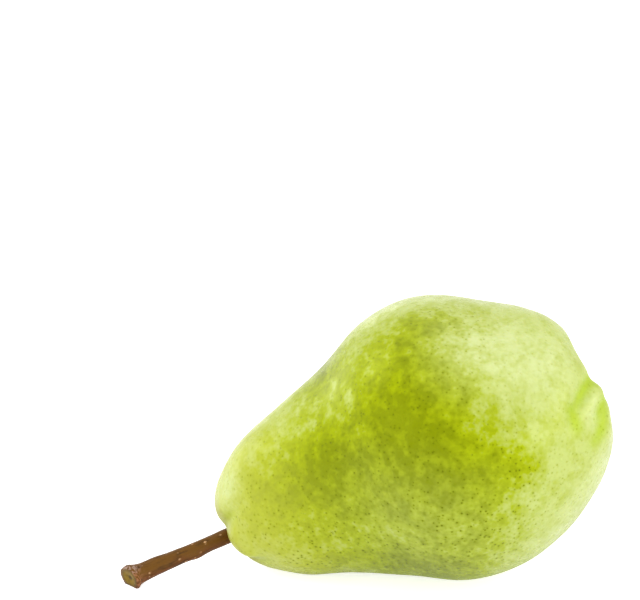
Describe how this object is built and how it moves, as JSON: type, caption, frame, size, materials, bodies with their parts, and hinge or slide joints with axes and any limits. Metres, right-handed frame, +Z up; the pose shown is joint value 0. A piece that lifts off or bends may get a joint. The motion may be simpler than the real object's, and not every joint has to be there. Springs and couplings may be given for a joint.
{
  "type": "pear",
  "caption": "Fresh green pear lying on its side, with a full belly, a tapering neck, a woody stem and a dried calyx in its basin.",
  "frame": {"origin": "middle of the small flat place on which the belly rests, on the ground plane", "axes": "+X along the lying pear towards its calyx end, with the stem towards -X; +Z up from the ground; Y across it"},
  "size_m": [0.1257, 0.0747, 0.0726],
  "materials": {
    "skin": "smooth waxy pear skin, yellow-green with deeper green clouds and fine dark dots, soft gloss",
    "stem": "brown bark with pale specks, matte to satin, olive-brown where it is broken off",
    "calyx": "dried, dark brown and matte"
  },
  "bodies": {
    "root": {"fruit": "skin", "stem": "stem", "calyx": "calyx"}
  },
  "joints": []
}
